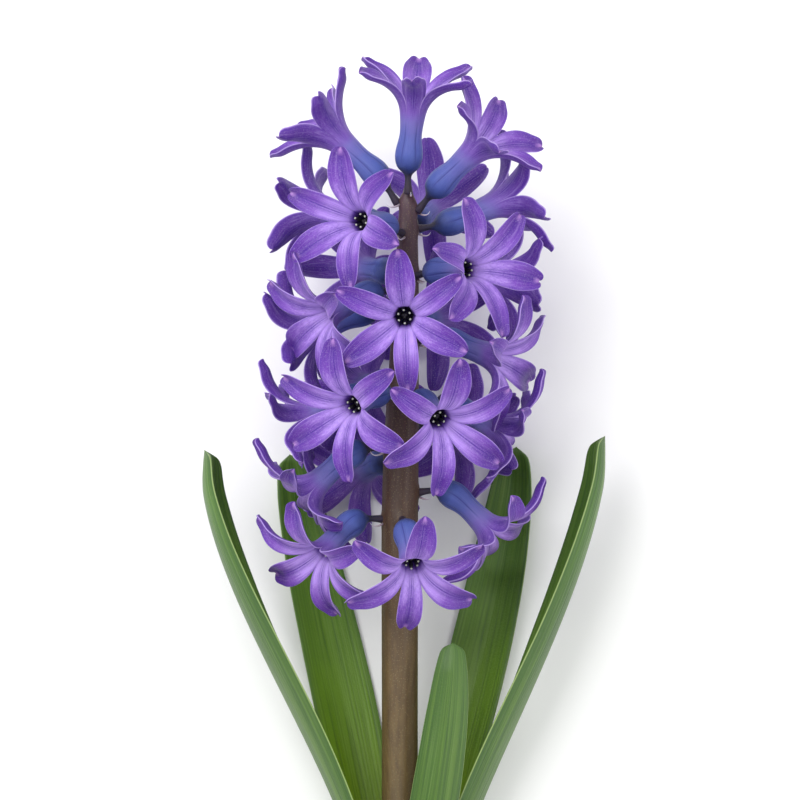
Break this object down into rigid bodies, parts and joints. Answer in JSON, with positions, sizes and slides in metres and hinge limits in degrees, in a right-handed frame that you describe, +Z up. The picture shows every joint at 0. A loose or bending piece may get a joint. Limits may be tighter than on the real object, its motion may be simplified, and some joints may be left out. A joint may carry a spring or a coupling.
{
  "type": "hyacinth flower",
  "caption": "Cut purple hyacinth lying on its back: a brown flower stalk with a dense head of curled florets, and green strap leaves.",
  "frame": {"origin": "on the table under the middle of the lying plant's box", "axes": "+Z up from the table, the flower's front uppermost; +Y along the stem from the cut end to the tip; +X to the right seen from above"},
  "size_m": [0.1028, 0.2236, 0.0714],
  "materials": {
    "petal": "satin",
    "stamen": "matte",
    "stalk": "satin",
    "leaf": "satin"
  },
  "bodies": {
    "root": {"floret_01": "petal", "floret_02": "petal", "floret_03": "petal", "floret_04": "petal", "floret_05": "petal", "floret_06": "petal", "floret_07": "petal", "floret_08": "petal", "floret_09": "petal", "floret_10": "petal", "floret_11": "petal", "floret_12": "petal", "floret_13": "petal", "floret_14": "petal", "floret_15": "petal", "floret_16": "petal", "floret_17": "petal", "floret_18": "petal", "floret_19": "petal", "floret_20": "petal", "floret_21": "petal", "floret_22": "petal", "floret_23": "petal", "floret_24": "petal", "floret_25": "petal", "floret_26": "petal", "stamens_01": "stamen", "stamens_02": "stamen", "stamens_03": "stamen", "stamens_04": "stamen", "stamens_05": "stamen", "stamens_06": "stamen", "stamens_07": "stamen", "stamens_08": "stamen", "stamens_09": "stamen", "stamens_10": "stamen", "stamens_11": "stamen", "stamens_12": "stamen", "stamens_13": "stamen", "stamens_14": "stamen", "stamens_15": "stamen", "stamens_16": "stamen", "stamens_17": "stamen", "stamens_18": "stamen", "stamens_19": "stamen", "stamens_20": "stamen", "stamens_21": "stamen", "stamens_22": "stamen", "stamens_23": "stamen", "stamens_24": "stamen", "stamens_25": "stamen", "stamens_26": "stamen", "stem": "stalk", "leaf_front_small": "leaf", "leaf_right_outer": "leaf", "leaf_back_right": "leaf", "leaf_back_left": "leaf", "leaf_left_outer": "leaf"}
  },
  "joints": []
}
